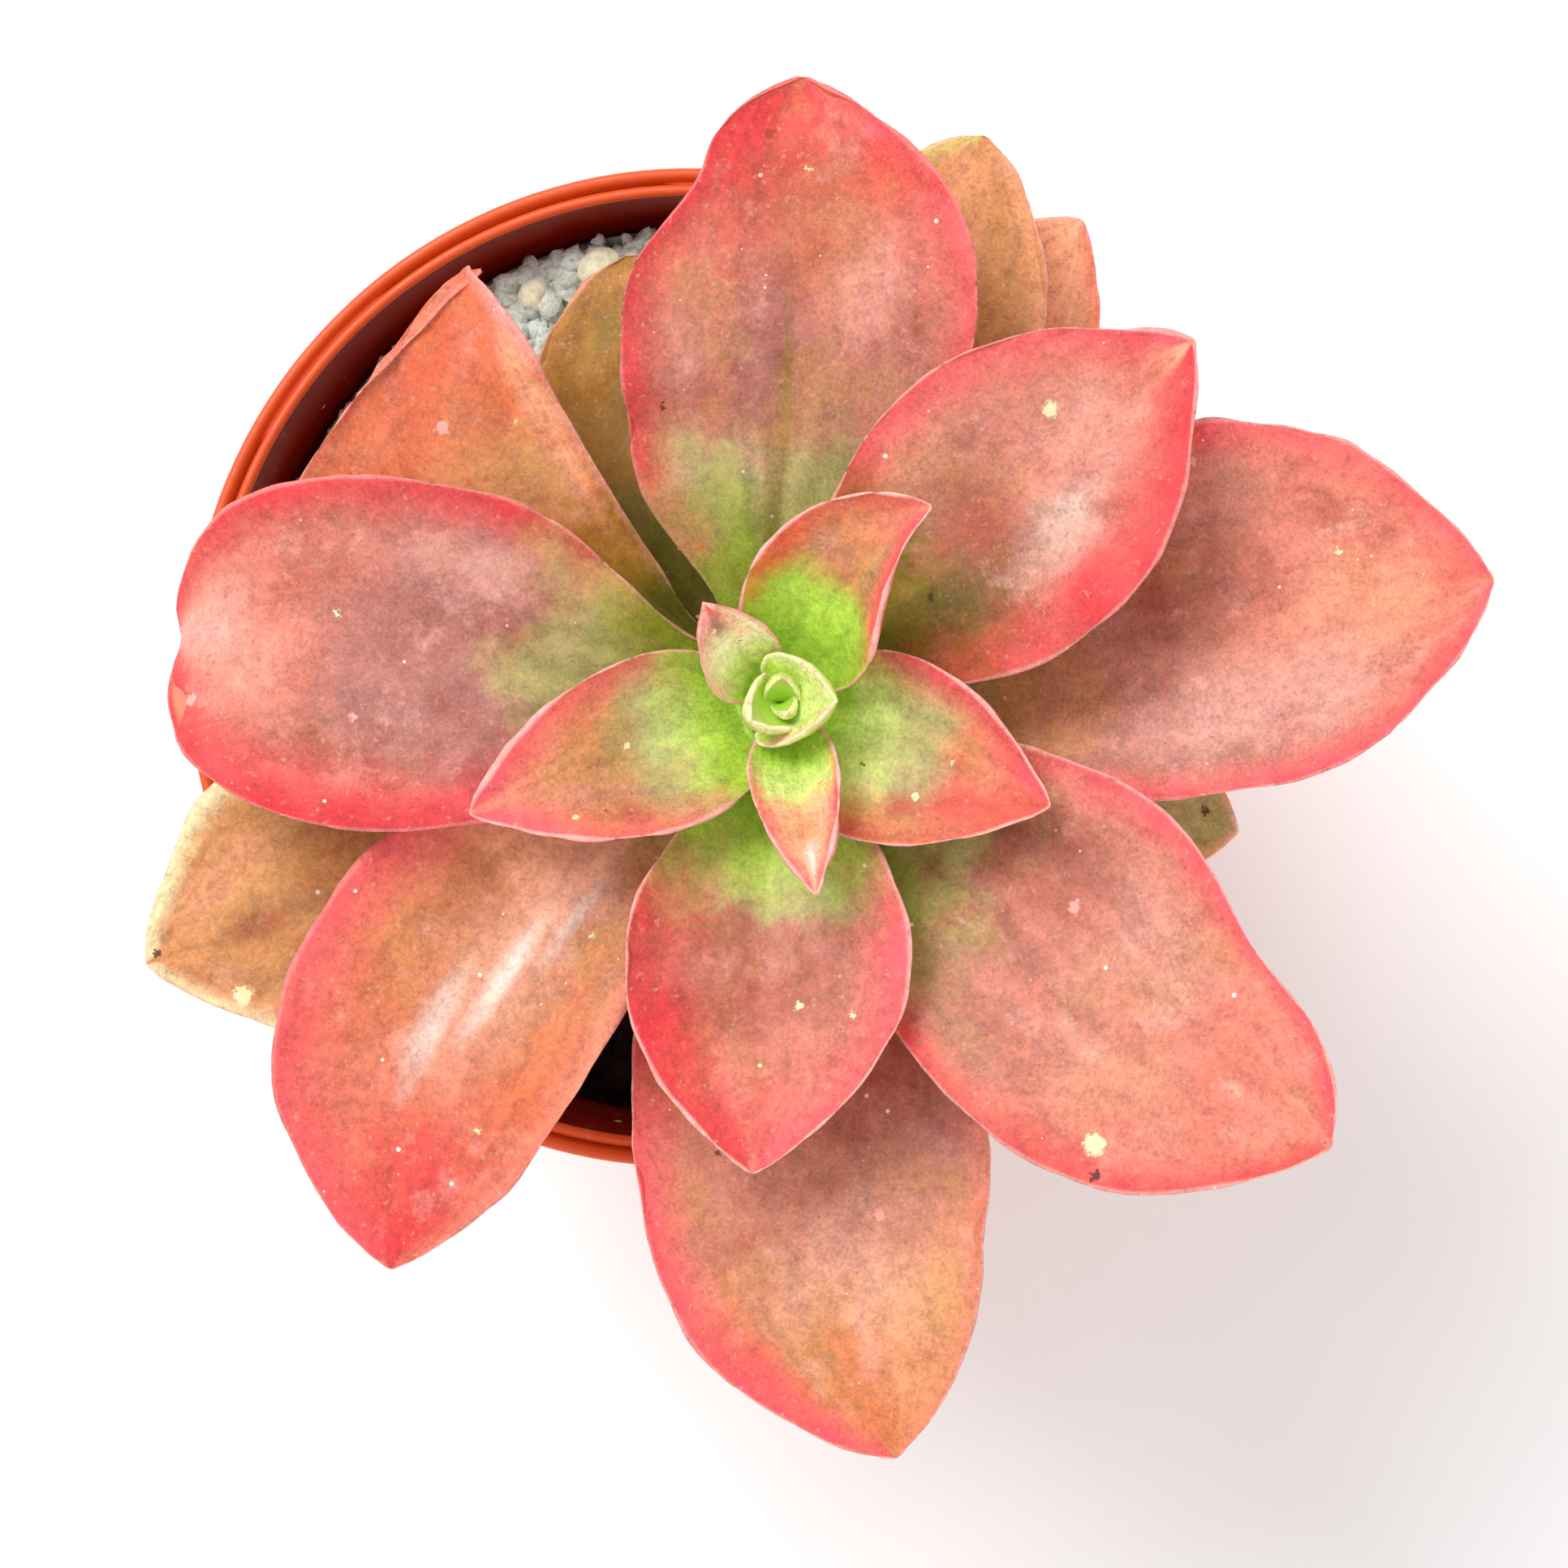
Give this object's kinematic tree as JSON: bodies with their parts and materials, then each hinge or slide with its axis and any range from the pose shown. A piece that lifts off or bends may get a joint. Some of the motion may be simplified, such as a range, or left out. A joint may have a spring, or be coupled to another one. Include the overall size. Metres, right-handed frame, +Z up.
{
  "type": "potted succulent",
  "caption": "Rosette succulent with broad, fleshy red and green leaves, growing in a thin round plastic nursery pot under a pumice dressing.",
  "frame": {"origin": "centre of the pot's underside, on the surface that it stands on", "axes": "+Z up along the pot's axis; the plant leans out of the pot towards +X and a little towards -Y"},
  "size_m": [0.1323, 0.1319, 0.1349],
  "materials": {
    "pot_plastic": "satin terracotta-orange plastic, darker inside, with dusty scuffs",
    "potting_soil": "dark crumbly peat",
    "pumice": "rough white grains",
    "pebble": "chalky cream stone",
    "stem": "dry, ringed with leaf scars",
    "core_leaf": "waxy lime green with cream margins",
    "young_leaf": "waxy green base, rosy top and pink margins",
    "inner_leaf": "waxy, green base, mauve red with red margins",
    "outer_leaf": "waxy, green base, rosy brown with pink margins",
    "old_leaf": "duller tan and ochre with small brown scabs"
  },
  "bodies": {
    "root": {"pot": "pot_plastic", "soil": "potting_soil", "pumice_dressing": "pumice", "pale_pebble_1": "pebble", "pale_pebble_2": "pebble", "stem": "stem", "core_leaf_4": "core_leaf", "core_leaf_3": "core_leaf", "core_leaf_2": "core_leaf", "core_leaf_1": "core_leaf", "young_leaf_1": "young_leaf", "young_leaf_2": "young_leaf", "young_leaf_3": "young_leaf", "young_leaf_4": "young_leaf", "young_leaf_5": "young_leaf", "inner_leaf_1": "inner_leaf", "inner_leaf_2": "inner_leaf", "outer_leaf_1": "outer_leaf", "outer_leaf_2": "outer_leaf", "outer_leaf_3": "outer_leaf", "outer_leaf_4": "outer_leaf", "outer_leaf_5": "outer_leaf", "outer_leaf_6": "outer_leaf", "outer_leaf_7": "outer_leaf", "old_leaf_1": "old_leaf", "old_leaf_2": "old_leaf", "old_leaf_3": "old_leaf", "old_leaf_4": "old_leaf", "old_leaf_5": "old_leaf"}
  },
  "joints": []
}
